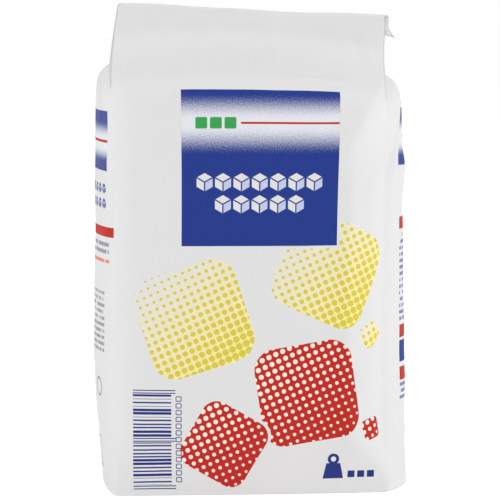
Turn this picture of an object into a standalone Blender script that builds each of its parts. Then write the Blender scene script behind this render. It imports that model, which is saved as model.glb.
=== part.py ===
"""A one-kilogram paper packet of sugar: a gusseted, block-bottomed bag, filled, shut and folded over.

The bag is a paper tube of four panels: a wide front and back, and two narrow sides (gussets).
Filled, its lower part is a bulging block. At the shoulders the sides tuck in between front and
back, the four layers lie flat as an upright neck, and the end of the neck is folded over backwards
and glued down. It is shut, so it is one solid. Metres, +Z up, front facing -Y, origin at the middle
of its footprint.
"""
import math

import bmesh
import bpy
import numpy as np

# Flat paper
PANEL_WIDTH = 0.106          # front and back panels
GUSSET_WIDTH = 0.059         # side panels
BODY_PAPER = 0.1880          # paper from the bottom edge up to the foot of the neck

# Filled body: front and back, right side, left side
BULGE = {"wide": 0.0044, "right": 0.0080, "left": 0.0073}   # how far a panel's middle stands proud
BULGE_AT_BOTTOM = {"wide": 0.15, "right": 0.90, "left": 0.50}   # share of it at the bottom edge
BULGE_RISE = {"wide": 0.045, "right": 0.020, "left": 0.060}   # paper height over which the rest grows
BULGE_LOSS = {"wide": 0.0, "right": 0.22, "left": 0.0}   # share lost again up to the shoulders
CRUMPLED = {"wide": 0.0, "right": 0.0065, "left": 0.0}   # shoulder paper taken up by small creases
SQUARENESS = {"wide": 0.45, "right": 0.0, "left": 1.0}   # of the shoulders, 0 round to 1 square
BOTTOM_ROLL = 0.0020         # radius of the rounded bottom edge
CORNER_SOFTNESS = 0.0026     # spread of the rounding that the filling gives the upright creases
CRISP_BOTTOM = 0.025         # paper height over which the creases turn from crisp to rounded
PANEL_BLEND = 0.006          # spread of the change of squareness and crumpling between panels

# Neck and the fold at its top
NECK_FOOT = 0.1655           # height of the foot of the neck, at the middle
NECK_HEIGHT = 0.0193         # from its foot up to the fold
NECK_TILT = math.radians(-2.3)   # the neck leans to the right
LAYER_OUTER = 0.0005         # front and back layers, from the middle of the neck
LAYER_INNER = 0.00015        # the two tucked layers
CREASE_TAPER = 0.002         # length over which the layers spread from a crease
FOLD_RADIUS = 0.00065        # of the middle of the layers, where they turn over
FLAP_HEIGHT = 0.0100         # the part folded over, down the back
SHOULDER_SOFTNESS = 0.0032   # spread of the rounding where the paper turns into the neck
SOFT_NECK = 0.008            # how far up the neck that rounding reaches

# Facets
FRONT_CELLS = 22
GUSSET_CELLS = 14            # an even number, so that a line of points lies in the tuck's fold
ROLL_ROWS = 3
BODY_ROWS = 14
SHOULDER_ROWS = 14
NECK_ROWS = 4
FOLD_ROWS = 6
FLAP_ROWS = 2
SHOULDER_START = 0.115       # paper height above which the rows lie closer together

HALF_WIDTH = PANEL_WIDTH / 2
HALF_DEPTH = GUSSET_WIDTH / 2
ROLL_PAPER = BOTTOM_ROLL * math.pi / 2
FRONT, RIGHT, BACK, LEFT = range(4)
PAPER_COLOUR = (0.80, 0.80, 0.79, 1.0)


def ring_columns(front_cells, gusset_cells):
    """The tube's columns, once round from the front left crease: panel number and place, 0 to 1."""
    panels = []
    places = []
    for panel, cells in ((FRONT, front_cells), (RIGHT, gusset_cells),
                         (BACK, front_cells), (LEFT, gusset_cells)):
        for step in range(cells):
            panels.append(panel)
            places.append(step / cells)
    return np.array(panels), np.array(places)


def ring_spacing():
    """Paper between each column and the next, once round."""
    return np.repeat([PANEL_WIDTH / FRONT_CELLS, GUSSET_WIDTH / GUSSET_CELLS] * 2,
                     [FRONT_CELLS, GUSSET_CELLS] * 2)


def by_panel(panels, front, right, back, left):
    """Pick each column's value from its own panel's formula."""
    return np.choose(panels, [front, right, back, left])


def named_by_panel(panels, table):
    """Pick each column's value from a table with one entry for the wide panels and one a side."""
    return by_panel(panels, table["wide"], table["right"], table["wide"], table["left"])


def block_plan(panels, places):
    """Plan points of the upright block that the four panels stand round before they bulge."""
    along = places * 2.0 - 1.0
    x = by_panel(panels, along * HALF_WIDTH, HALF_WIDTH, -along * HALF_WIDTH, -HALF_WIDTH)
    y = by_panel(panels, -HALF_DEPTH, along * HALF_DEPTH, HALF_DEPTH, -along * HALF_DEPTH)
    return np.stack([x, y], axis=1)


def neck_plan(panels, places):
    """Where each column stands in the flat neck: its distance along it, and its layer's offset."""
    along = places * 2.0 - 1.0
    tuck = HALF_DEPTH * (1.0 - np.abs(along))
    distance = by_panel(panels, along * HALF_WIDTH, HALF_WIDTH - tuck,
                        -along * HALF_WIDTH, tuck - HALF_WIDTH)
    near_crease = 1.0 - np.clip(tuck / CREASE_TAPER, 0.0, 1.0)
    inner = LAYER_INNER + (LAYER_OUTER - LAYER_INNER) * near_crease
    layer = by_panel(panels, -LAYER_OUTER, np.sign(along) * inner, LAYER_OUTER, -np.sign(along) * inner)
    return distance, layer


def bulge(panels, places, paper_height):
    """Outward bulge of each column at its paper height."""
    arch = 1.0 - (places * 2.0 - 1.0) ** 2
    start = named_by_panel(panels, BULGE_AT_BOTTOM)
    grown = np.sin(0.5 * np.pi * np.clip(paper_height / named_by_panel(panels, BULGE_RISE), 0.0, 1.0))
    kept = 1.0 - named_by_panel(panels, BULGE_LOSS) * paper_height / BODY_PAPER
    size = named_by_panel(panels, BULGE) * (start + (1.0 - start) * grown) * kept
    outward = np.array([[0.0, -1.0], [1.0, 0.0], [0.0, 1.0], [-1.0, 0.0]])[panels]
    return outward * (arch * size)[:, None]


def shoulder_curve(start, inward, foot, square, steps=48):
    """Each column's cubic curve, from upright at height start, in and up to the foot of the neck."""
    t = np.linspace(0.0, 1.0, steps)[:, None]
    rise = foot - start
    second = 3 * t * (1 - t) ** 2
    third = 3 * t * t * (1 - t)
    last = t ** 3
    across = third * inward * (0.55 - 0.13 * square) + last * inward
    up = start + second * rise * (0.5 + 0.45 * square) + third * rise * (0.8 + 0.1 * square) + last * rise
    length = np.cumsum(np.hypot(np.diff(across, axis=0), np.diff(up, axis=0)), axis=0)
    return across, up, np.concatenate([np.zeros_like(length[:1]), length])


def shoulder_starts(inward, foot, square, crumpled):
    """Heights where the columns leave the upright, so that each uses up its length of paper."""
    upright_paper = BODY_PAPER - ROLL_PAPER + BOTTOM_ROLL - crumpled
    low = np.full_like(inward, NECK_FOOT / 3)
    high = foot.copy()
    for _ in range(40):
        middle = (low + high) / 2
        length = shoulder_curve(middle, inward, foot, square)[2][-1]
        short = middle + length < upright_paper
        low = np.where(short, middle, low)
        high = np.where(short, high, middle)
    return (low + high) / 2


def body_heights():
    """Paper heights of the rows of the body and shoulders, from the bottom to the foot of the neck."""
    roll = np.linspace(0.0, ROLL_PAPER, ROLL_ROWS + 1)
    body = np.linspace(ROLL_PAPER, SHOULDER_START, BODY_ROWS + 1)
    shoulder = np.linspace(SHOULDER_START, BODY_PAPER, SHOULDER_ROWS + 1)
    return np.concatenate([roll, body[1:], shoulder[1:]])


def body_points(panels, places, heights):
    """Rows of points of the filled body and its shoulders."""
    block = block_plan(panels, places)
    distance, layer = neck_plan(panels, places)
    foot = NECK_FOOT + distance * math.sin(NECK_TILT)
    neck = np.stack([distance * math.cos(NECK_TILT), layer], axis=1)
    full = block + bulge(panels, places, np.full(len(panels), BODY_PAPER))
    inward = np.linalg.norm(neck - full, axis=1)
    toward = (neck - full) / inward[:, None]
    square = blurred(named_by_panel(panels, SQUARENESS), ring_spacing(), PANEL_BLEND, True)
    crumpled = blurred(named_by_panel(panels, CRUMPLED), ring_spacing(), PANEL_BLEND, True)
    start = shoulder_starts(inward, foot, square, crumpled)
    across, up, length = shoulder_curve(start, inward, foot, square)
    start_paper = start + ROLL_PAPER - BOTTOM_ROLL
    stretch = length[-1] / (BODY_PAPER - start_paper)
    rows = []
    for height in heights:
        angle = min(height / BOTTOM_ROLL, math.pi / 2)
        inset = 1.0 - BOTTOM_ROLL * (1.0 - math.sin(angle)) / np.array([HALF_WIDTH, HALF_DEPTH])
        if height <= ROLL_PAPER:
            level = BOTTOM_ROLL * (1.0 - math.cos(angle))
        else:
            level = height - ROLL_PAPER + BOTTOM_ROLL
        plan = block * inset + bulge(panels, places, np.full(len(panels), height))
        z = np.full(len(panels), level)
        for column in np.flatnonzero(height > start_paper):
            gone = (height - start_paper[column]) * stretch[column]
            reach = np.interp(gone, length[:, column], across[:, column])
            plan[column] = full[column] + toward[column] * reach
            z[column] = np.interp(gone, length[:, column], up[:, column])
        rows.append(np.column_stack([plan, z]))
    return np.array(rows)


def neck_points(panels, places):
    """Rows of the neck, of the turn over its top and of the flap down its back."""
    distance, layer = neck_plan(panels, places)
    offsets = []
    levels = []
    for step in range(1, NECK_ROWS + 1):
        offsets.append(layer)
        levels.append(np.full(len(panels), NECK_HEIGHT * step / NECK_ROWS))
    for step in range(1, FOLD_ROWS + 1):
        angle = math.pi * step / FOLD_ROWS
        radius = FOLD_RADIUS - layer
        offsets.append(FOLD_RADIUS - radius * math.cos(angle))
        levels.append(NECK_HEIGHT + radius * math.sin(angle))
    for step in range(1, FLAP_ROWS + 1):
        offsets.append(2 * FOLD_RADIUS - layer)
        levels.append(np.full(len(panels), NECK_HEIGHT - FLAP_HEIGHT * step / FLAP_ROWS))
    offset = np.array(offsets)
    level = np.array(levels)
    x = distance * math.cos(NECK_TILT) - level * math.sin(NECK_TILT)
    z = NECK_FOOT + distance * math.sin(NECK_TILT) + level * math.cos(NECK_TILT)
    return np.stack([x, offset, z], axis=2)


def blurred(points, spacing, spread, periodic):
    """Points moved to the average of their neighbours along axis 0, by distance along the paper."""
    place = np.concatenate([[0.0], np.cumsum(spacing)])
    gap = np.abs(place[:len(points), None] - place[None, :len(points)])
    if periodic:
        gap = np.minimum(gap, place[-1] - gap)
    weight = np.exp(-0.5 * (gap / spread) ** 2)
    weight /= weight.sum(axis=1, keepdims=True)
    return np.tensordot(weight, points, axes=1)


def soften(rows, heights):
    """Round the creases of the body, and the turn from the shoulders into the neck."""
    columns = np.swapaxes(rows, 0, 1)
    around = np.swapaxes(blurred(columns, ring_spacing(), CORNER_SOFTNESS, True), 0, 1)
    fade = np.clip((BODY_PAPER - heights) / (BODY_PAPER - SHOULDER_START), 0.0, 1.0)
    grow = np.clip(heights / CRISP_BOTTOM, 0.2, 1.0)
    rows = rows + (around - rows) * (fade * grow)[:, None, None]
    upward = blurred(rows, np.diff(heights), SHOULDER_SOFTNESS, False)
    rising = np.clip((heights - SHOULDER_START) / 0.02, 0.0, 1.0)
    falling = np.clip((BODY_PAPER + SOFT_NECK - heights) / SOFT_NECK, 0.0, 1.0)
    return rows + (upward - rows) * (rising * falling)[:, None, None]


def packet_points():
    """The whole tube's grid of points, from the bottom edge to the cut edge of the flap."""
    panels, places = ring_columns(FRONT_CELLS, GUSSET_CELLS)
    heights = body_heights()
    body = body_points(panels, places, heights)
    neck = neck_points(panels, places)
    neck_paper = BODY_PAPER + NECK_HEIGHT * np.arange(1, NECK_ROWS + 1) / NECK_ROWS
    soft_heights = np.concatenate([heights, neck_paper])
    soft = soften(np.concatenate([body, neck[:NECK_ROWS]]), soft_heights)
    points = np.concatenate([soft, neck[NECK_ROWS:]])
    points[0, :, 2] = 0.0
    low = points.reshape(-1, 3).min(axis=0)
    high = points.reshape(-1, 3).max(axis=0)
    return points - [(low[0] + high[0]) / 2, (low[1] + high[1]) / 2, 0.0]


def flap_end_faces(mesh, ring):
    """Close the cut edge: strips between the tucked layers and the front and back, then the middle."""
    front = ring[:FRONT_CELLS + 1]
    right = ring[FRONT_CELLS:FRONT_CELLS + GUSSET_CELLS + 1]
    back = ring[FRONT_CELLS + GUSSET_CELLS:2 * FRONT_CELLS + GUSSET_CELLS + 1]
    left = ring[2 * FRONT_CELLS + GUSSET_CELLS:] + ring[:1]
    half = GUSSET_CELLS // 2
    for wide, tuck in ((front[::-1], right), (back, right[::-1]), (back[::-1], left), (front, left[::-1])):
        mesh.faces.new((wide[0], wide[1], tuck[1]))
        for step in range(1, half):
            mesh.faces.new((wide[step], wide[step + 1], tuck[step + 1], tuck[step]))
    across = back[::-1]
    for step in range(half, FRONT_CELLS - half):
        mesh.faces.new((front[step], front[step + 1], across[step + 1], across[step]))
    mesh.faces.new((front[half], across[half], left[half]))
    mesh.faces.new((front[-1 - half], across[-1 - half], right[half]))


def build_packet(collection):
    """Loft the rows into one closed solid with a flat bottom."""
    points = packet_points()
    mesh = bmesh.new()
    rings = [[mesh.verts.new(point) for point in row] for row in points]
    for lower, upper in zip(rings, rings[1:]):
        for column in range(len(lower)):
            following = (column + 1) % len(lower)
            mesh.faces.new((lower[column], lower[following], upper[following], upper[column]))
    mesh.faces.new(rings[0][::-1])
    flap_end_faces(mesh, rings[-1])
    bmesh.ops.recalc_face_normals(mesh, faces=mesh.faces)
    data = bpy.data.meshes.new("packet")
    mesh.to_mesh(data)
    mesh.free()
    data.shade_smooth()
    data.set_sharp_from_angle(angle=math.radians(50))
    packet = bpy.data.objects.new("packet", data)
    collection.objects.link(packet)
    packet.data.materials.append(paper_material())
    return packet


def paper_material():
    material = bpy.data.materials.new("white_paper")
    material.use_nodes = True
    shader = material.node_tree.nodes["Principled BSDF"]
    shader.inputs["Base Color"].default_value = PAPER_COLOUR
    shader.inputs["Roughness"].default_value = 0.62
    shader.inputs["Metallic"].default_value = 0.0
    return material


def main():
    for leftover in list(bpy.data.objects):
        bpy.data.objects.remove(leftover)
    collection = bpy.data.collections.new("sugar_packet")
    bpy.context.scene.collection.children.link(collection)
    build_packet(collection)


main()
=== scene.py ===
"""Looks of the paper sugar packet: the wrinkled paper, its print, and the floor, light and camera.

The packet's shape is worked out again here at a fine pitch, from driving sizes like the CAD solid's.
The paper is then relaxed as a sheet that bends but hardly stretches, laid round the filling, so that
it wrinkles where the flat sheet and the filled form don't agree. Metres, front facing -Y.
"""
import math

import bmesh
import bpy
import numpy as np
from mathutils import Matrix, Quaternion, Vector


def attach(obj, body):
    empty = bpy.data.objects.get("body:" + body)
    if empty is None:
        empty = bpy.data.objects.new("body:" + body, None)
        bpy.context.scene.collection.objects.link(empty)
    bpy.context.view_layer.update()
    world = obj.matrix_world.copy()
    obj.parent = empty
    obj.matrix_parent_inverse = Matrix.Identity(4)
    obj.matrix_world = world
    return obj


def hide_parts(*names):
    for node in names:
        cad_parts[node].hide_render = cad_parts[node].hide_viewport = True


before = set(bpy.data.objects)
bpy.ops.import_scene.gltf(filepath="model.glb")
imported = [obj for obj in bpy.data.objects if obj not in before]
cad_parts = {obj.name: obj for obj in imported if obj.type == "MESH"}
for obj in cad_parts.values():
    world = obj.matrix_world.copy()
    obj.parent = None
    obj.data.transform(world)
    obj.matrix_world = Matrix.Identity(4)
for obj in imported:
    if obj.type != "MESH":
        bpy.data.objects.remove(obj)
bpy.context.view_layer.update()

MM = 0.001
SEED = 11
FRONT, RIGHT, BACK, LEFT, BOTTOM, CAP = range(6)     # the panels in order, and the tube's two ends

# Flat paper. A paper height is measured along the paper, up from the bottom edge.
PANEL_WIDTH = 106 * MM       # front and back panels
GUSSET_WIDTH = 59 * MM       # side panels
BODY_PAPER = 188.2 * MM      # paper height of the neck's foot
PANEL_WIDTHS = np.array([PANEL_WIDTH, GUSSET_WIDTH, PANEL_WIDTH, GUSSET_WIDTH])
RING = 2 * PANEL_WIDTH + 2 * GUSSET_WIDTH
HALF_WIDTH = PANEL_WIDTH / 2
HALF_DEPTH = GUSSET_WIDTH / 2

# Filled body: the wide panels, the right side and the left side
BULGE = {"wide": 4.4 * MM, "right": 10.0 * MM, "left": 7.3 * MM}      # of a panel's middle
BULGE_AT_BOTTOM = {"wide": 0.15, "right": 0.95, "left": 0.38}         # share of it at the bottom
BULGE_RISE = {"wide": 45 * MM, "right": 12 * MM, "left": 60 * MM}     # paper over which it fills out
BULGE_LOSS = {"wide": 0.0, "right": 0.48, "left": 0.24}               # share lost again up to the neck
BULGE_SKEW = 0.45            # how far the right side's bulge is pushed toward the front
BOTTOM_ROLL = 1.3 * MM       # radius of the bottom edge
ROLL_PAPER = BOTTOM_ROLL * math.pi / 2
OUTWARD = np.array([[0.0, -1.0], [1.0, 0.0], [0.0, 1.0], [-1.0, 0.0]])     # of each panel, in plan

# Shoulders, where the panels lean in to the neck
CRUMPLED_RIGHT = 5.0 * MM    # paper lost in small creases at the right end; none at the left end
PUFFED = {"wide": 1.0, "right": 2.1, "left": 2.0}            # how late the side's middle turns in
TUCKED_AT_FOOT = {"wide": 1.0, "right": 0.70, "left": 0.65}  # how far it is in at the neck's foot
SHOULDER_SWELL = 1.7 * MM
CORNER_PUSH = {"right": 2.2 * MM, "left": 0.9 * MM}          # how far the filling pushes corners out
PUSH_REACH = 13 * MM         # from a corner
PUSH_RISE = (105 * MM, 45 * MM)              # paper height where the push starts, and its ramp
PUSH_FALL = (BODY_PAPER + 1 * MM, 24 * MM)   # paper height where it ends, and its ramp

# Softness of the turns: how far the form is blurred, and where
CORNER_SOFTNESS = 3.2 * MM   # all upright creases
CRISP_BOTTOM = 25 * MM       # paper over which they soften, up from the bottom
SOFT_AT_BOTTOM = 0.2         # how soft they are at the very bottom
CRISP_TOP = (8 * MM, 30 * MM)        # how far below the neck they are crisp again, and the ramp to it
ROUND_CORNER_SOFTNESS = 6.5 * MM     # the front right corner, pushed round by the filling
ROUND_CORNER_WIDTH = 18 * MM
ROUND_CORNER_END = BODY_PAPER + 2 * MM
ROUND_CORNER_RAMP = 30 * MM  # paper over which it grows from the bottom, and fades toward its end
LEFT_ROUNDNESS = 0.75        # how round the front left corner is beside it
LEFT_CORNER_WIDTH = 0.8 * ROUND_CORNER_WIDTH
TURN_SOFTNESS = 5.0 * MM     # the turn into the shoulders
TURN_START = 135 * MM
TURN_RAMP = 15 * MM
SHOULDER_SOFTNESS = 8.5 * MM         # the turn into the neck
SOFT_SHOULDER = (26 * MM, 16 * MM)   # how far below the neck it starts, and its ramp
SOFT_NECK = 16 * MM          # how far up the neck it fades out

# Slack corners of the front, which turn away as flat facets. Each widens down from its top, over the
# rise, and narrows again toward its bottom, over the fall.
RIGHT_FACET = {"top": 175 * MM, "rise": 42 * MM, "bottom": 3 * MM, "fall": 24 * MM,
               "width": 17 * MM, "slope": 0.275, "soft": 1.2 * MM}
LEFT_FACET = {"top": 190 * MM, "rise": 22 * MM, "bottom": 146 * MM, "fall": 16 * MM,
              "width": 13 * MM, "slope": 0.15, "soft": 0.8 * MM}
STEEPER = 0.13               # what the right one's slope gains in its upper part
STEEPER_RISE = (115 * MM, 25 * MM)
SOFTER = 1.2                 # by how much its inner edge is softer in its lower part
SOFTER_FALL = (RIGHT_FACET["top"] - 30 * MM, 30 * MM)
FACET_FADE = 16 * MM         # how far round the corner a facet goes on
FACET_DRIFT = {"right": -0.36, "left": -1.10}    # how far it lies to the right, for each part it lies back

# Neck, the fold at its top and the flap down its back
NECK_FOOT = 167.0 * MM       # its level
NECK_HEIGHT = 17.1 * MM
NECK_RISE = 3.8 * MM         # how much higher the middle of its foot is
CLIMB_START = 120 * MM       # paper height where the rows start to climb toward that
NECK_TILT = math.radians(-2.3)
NECK_BACK = math.radians(16.5)       # how far it leans back, and to the right
NECK_LEAN = math.radians(3.0)
NECK_TAPER = 0.022           # how much it narrows toward its top on the left
NECK_WAVES = ((0.32 * MM, 15 * MM, 3.9), (0.15 * MM, 6 * MM, 2.0))     # in height: size, pitch, start
NECK_SWAYS = ((0.9 * MM, 26 * MM, 1.1), (0.3 * MM, 9 * MM, 0.2))       # in depth
LAYER_OUTER = 0.50 * MM      # front and back layers, from the neck's middle
LAYER_INNER = 0.15 * MM      # tucked layers
LAYER_START = 0.1            # share of the lean over which the layers part
CREASE_TAPER = 2.0 * MM      # paper over which tucked layers leave their crease
HIDDEN_DEPTH = 1.6 * MM      # how far below the leaning panels the paper tucked under them lies
HIDDEN_EDGE = 2 * MM         # paper over which the sides' paper passes under them
NECK_CLOSED = 0.7 * NECK_HEIGHT      # paper over which that depth shrinks to the neck's layers
FOLD_RADIUS = 0.65 * MM
FLAP_HEIGHT = 10 * MM
FLAP_SHORTER_RIGHT = 0.35    # share of its height that the flap lacks at the right end
FLAP_SHIFT = 1.3 * MM        # how far it stands out past the neck's right end
FLAP_SPRING = 0.8 * MM       # how far its edge stands off the neck
EAR_REACH = (3.4 * MM, -1.6 * MM)    # its drawn-out corner, sideways and upward
EAR_SIZE = 3.0 * MM

# Fineness of the paper's mesh
FRONT_CELLS = 84
GUSSET_CELLS = 46
PANEL_CELLS = (FRONT_CELLS, GUSSET_CELLS, FRONT_CELLS, GUSSET_CELLS)
STARTS = tuple(sum(PANEL_CELLS[:panel]) for panel in range(5))     # each panel's first column
FRONT_CELL = PANEL_WIDTH / FRONT_CELLS
GUSSET_CELL = GUSSET_WIDTH / GUSSET_CELLS
ROLL_ROWS = 3
BODY_ROWS = 146
NECK_ROWS = 15
FOLD_ROWS = 8
FLAP_ROWS = 8

# Relaxation of the sheet
SLACK = 1.010                # length of the relaxed sheet beside the flat one
HOLD = 0.01                  # share of its standing proud that goes in each round
STIFF = 0.02                 # bending stiffness
SHEAR_SHARE = 0.5            # how much of a diagonal's error is mended, beside an edge's
COARSE_ROUNDS = 700
FINE_ROUNDS = 200
FREE_FALL = (-22 * MM, 24 * MM)      # from the neck's foot, where the sheet stops being free, and ramp
LOOSE_RISE = (135 * MM, 30 * MM)     # paper height where the shoulders are loose, and its ramp
GIVE = 0.3 * MM              # how far the sheet may sink into the filling
LOOSE_GIVE = 2.5 * MM        # and how much further where it is loose
BUMPS = (18, 7, 0.25)        # to start with: rows and columns of a bump, and its height in mm
LOOSE_BUMPS = (8, 5, 0.30)
CALM_RISE = (128 * MM, 25 * MM)      # paper height where side shoulders are held to the form, and ramp
CALM_WIDTH = 22 * MM         # how far onto the wide panels that fades out

# Folds laid one by one, in mm: place round the ring and height at both ends, how proud it stands, width.
# The front panel starts at 0, the right one at 106, the back at 165 and the left at 271.
RIDGES = (
    (6.2, 97, 6.4, 143, 0.26, 1.6),
    (3.0, 193, 9.8, 169, 0.34, 1.5),
    (9.8, 169, 3.7, 151, 0.25, 1.6),
    (98.5, 198, 101.5, 176, 0.34, 1.1),
    (94.5, 196, 96.0, 184, -0.28, 0.9),
    (90.5, 201, 91.5, 188, 0.24, 0.9),
    (31.0, 190, 31.4, 197, -0.22, 0.8),
    (41.0, 181, 46.0, 200, -0.22, 2.2),
    (18.0, 176, 24.0, 199, 0.20, 1.6),
    (78.0, 178, 74.0, 201, 0.22, 1.5),
    (89.1, 127, 93.5, 96, 0.16, 1.8),
    (100.5, 21, 92.0, 27, 0.20, 1.6),
    (135.5, 4, 135.5, 150, -0.55, 1.5),
    (300.5, 4, 300.5, 150, -0.55, 1.5),
    (112.0, 160, 124.0, 138, 0.16, 1.8),
    (158.0, 163, 148.0, 136, 0.30, 1.6),
    (279.0, 162, 290.0, 137, 0.30, 1.6),
    (324.0, 163, 312.0, 138, 0.32, 1.6),
    (118.0, 14, 112.0, 38, 0.22, 1.6),
    (152.0, 12, 159.0, 33, 0.24, 1.6),
    (186.0, 194, 191.0, 168, 0.30, 1.4),
    (204.0, 200, 207.0, 180, -0.26, 1.2),
    (236.0, 199, 231.0, 177, 0.28, 1.5),
    (258.0, 194, 262.0, 158, 0.30, 1.6),
    (214.0, 30, 222.0, 12, 0.18, 1.8),
    (178.0, 128, 176.0, 88, 0.22, 1.8),
)
DENTS = ((9.1, 179, 0.60, 3.0), (63.0, 171, 0.25, 5.0), (247.0, 172, 0.40, 4.5), (196.0, 150, 0.30, 6.0),
         (284.0, 158, 0.50, 4.0), (150.0, 152, 0.45, 4.0))     # place, height, depth, width
PLEATS = ((59.5, 63.9, 168, 200, 0.60), (217.0, 221.0, 170, 200, 0.38))   # start, sharp end, heights, size
PEBBLE = 0.045 * MM          # height of the grains that show through
PEBBLES = ((3.2, 3.0, 1.0), (9, 8, 2.0))     # rows and columns of a pebble, and its weight
RELIEF_START = 4 * MM        # paper over which the relief grows, up from the bottom edge

# Bottom and back seam
BOTTOM_SUNK = 0.9 * MM
SUNK_RISE = (1 * MM, 2 * MM)         # from the bottom's edge, where it starts to sink, and the ramp
BOTTOM_STEP = 1.28           # mm between the bottom's points from front to back, where it sinks
FOLDS_INSET = 4 * MM         # of the folded paper from the bottom's edge
FOLDS_TOP = 1.3 * MM         # level of its upper face
SEAM_START = 5               # row of the paper's mesh where the seam starts
SEAM_WIDTH = 12 * MM
SEAM_CELLS = int(SEAM_WIDTH / FRONT_CELL) + 1
SEAM_THICK = 0.32 * MM
SEAM_SUNK = 0.04 * MM        # its upper face, at the crease
SEAM_ROOT = (0.10 * MM, 0.12 * MM)   # depth of its lower face, and what that gains toward the free edge

# Places on the baked maps: low corner, and map widths for each metre
ATLAS = {FRONT: (0.008, 0.008, 4.45), RIGHT: (0.490, 0.008, 2.80), LEFT: (0.664, 0.008, 2.80),
         BACK: (0.490, 0.645, 2.30), BOTTOM: (0.845, 0.008, 1.35), CAP: (0.845, 0.120, 1.35)}
SEAM_ATLAS = (0.01, 0.01, 4.5)

# Paper and inks. The paper is a linear colour, the inks are sRGB from 0 to 255.
PAPER_WHITE = (0.712, 0.712, 0.711)
PAPER_ROUGH = 0.62
PAPER_GLOSS = 0.25
FIBRE_FINENESS = 900.0
FIBRE_HEIGHT = 0.00006
INK_BLUE = (22, 50, 134)
INK_PALE = (222, 224, 230)
INK_SHADE = (190, 198, 224)      # the cubes' darker face
INK_SIDE_BLUE = (60, 72, 142)
INK_SIDE_PALE = (236, 237, 240)
INK_SIDE_TEXT = (120, 128, 170)
INK_RED = (184, 30, 18)
INK_BLUSH = (250, 226, 214)      # the paper's dots left in the red
INK_PINK = (222, 130, 122)
INK_YELLOW = (212, 196, 68)
INK_CREAM = (243, 229, 146)      # the tint under the yellow dots
INK_GREEN = (52, 156, 76)
INK_GREY = (150, 152, 160)
INK_LIGHT_GREY = (222, 223, 226)
INK_BAR = (32, 44, 122)

# Print, in mm. Places are on the panel, from its lower left corner.
PRINT_SHIFT = {"front_print": (0.9, -0.9), "right_print": (0.9, -1.6), "left_print": (0.9, -3.0)}
INK_EDGE = 0.10              # softness of every printed edge
DOT_PITCH = 2.85             # halftone: between dots, and the turn of their rows in degrees
DOT_TURN = 24
DOT_GROWTH = 0.62            # how fast the dots' size changes along a square's diagonal
YELLOW_SQUARES = ((29.5, 70, 40, 18), (81, 88.5, 38, -24), (98.5, 63.5, 9, 40))   # middle, side, turn
RED_SQUARES = ((73, 41.5, 38, 9), (41, 22, 28, -30), (99.5, 27, 8, 15))
SQUARE_CORNER = 0.22         # radius of a square's corners beside its side
SQUARE_GAP = 1.2             # white left round a square that lies over another one
LABEL = (54.2, 127.4, 29.6, 29.6)                  # middle, half width, half height
LABEL_MARGIN = 1.0
LABEL_BAND = (132.6, 142.9, 145.8, 155.2)          # starts to pale, is pale, ends, is blue again
SIDE_BAND = (131.0, 136.0, 140.0, 146.0)
LABEL_GRAIN = (1900.0, 0.55)                       # fineness and depth
CUBE_ROWS = ((53.9, 121.9, 7), (53.9, 113.6, 5))   # middle, number of cubes
CUBE_SIZE = 3.45
CUBE_PITCH = 6.9
SIDE_CUBE_SIZE = 2.1
SIDE_CUBE_PITCH = 5.0
HALF_ROOT3 = 0.866           # a hexagon's half width beside its side
THIRD_ROOT3 = 0.577          # slope of a cube's slanting edges
LABEL_SQUARES = (32.0, 144.3, 5.4, 2.2, 0.6)       # first middle, pitch, half side, corner
LABEL_RULE = (65.2, 144.3, 18.5, 0.4)              # boxes: middle, half width, half height
WEIGHT_SQUARES = (90.5, 9.6, 3.7, 1.35, 0.3)
FRONT_WEIGHT = (83.5, 11.0, 6.0)                   # middle, size
BACK_WEIGHT = (91.5, 10.6, 6.2)
BARCODE = {"x0": 6.1, "x1": 20.8, "y0": 5.4, "y1": 42.4, "module": 0.40}
BLANKS = {"x": 23.6, "y0": 7.0, "y1": 41.0, "pitch": 2.615, "half": 0.85, "stroke": 0.34}
LEFT_LABEL = (29.5, 138.8, 23.2, 11.3)
LEFT_BOXES = ((INK_RED, 34.0, 138.6, 18.5, 0.5), (INK_RED, 29.5, 104.4, 27.5, 1.9),
              (INK_GREY, 34.8, 18.0, 4.7, 6.0), (INK_LIGHT_GREY, 34.8, 18.0, 3.9, 5.2))
LEFT_CUBE_ROWS = ((29.5, 120.7, 9), (29.5, 115.0, 9))
LEFT_RING = (42.5, 44.0, 3.4, 0.5)                 # middle, radius, half its line's width
RIGHT_LABEL = (31.0, 139.0, 20.0, 11.2)
RIGHT_BOXES = ((INK_RED, 33.0, 138.6, 16.0, 0.5), (INK_RED, 31.5, 105.6, 20.5, 2.4),
               (INK_RED, 31.5, 63.3, 20.5, 2.5), (INK_BLUE, 31.5, 55.5, 20.5, 4.2),
               (INK_RED, 31.5, 46.8, 20.5, 2.6))
# Greeked text: left, right, lower and upper edge, row pitch, block's width, share filled, ink, seed
BACK_TEXT = (6.0, 24.0, 5.0, 39.0, 2.0, 0.8, 0.80, INK_GREY, 5.0)
LEFT_TEXT = ((5.0, 54.0, 95.4, 101.0, 2.8, 1.0, 0.83, INK_GREY, 11.0),
             (5.0, 54.0, 92.0, 94.4, 2.4, 1.0, 0.88, INK_PINK, 17.0),
             (10.0, 50.0, 57.5, 82.0, 2.45, 0.95, 0.76, INK_GREY, 23.0),
             (8.0, 34.0, 38.0, 50.0, 2.4, 0.95, 0.78, INK_GREY, 29.0))
RIGHT_TEXT = ((11.0, 51.5, 67.0, 102.0, 2.5, 0.95, 0.82, INK_SIDE_TEXT, 41.0),
              (11.0, 51.5, 36.2, 43.7, 2.5, 0.95, 0.82, INK_SIDE_TEXT, 47.0))

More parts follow.
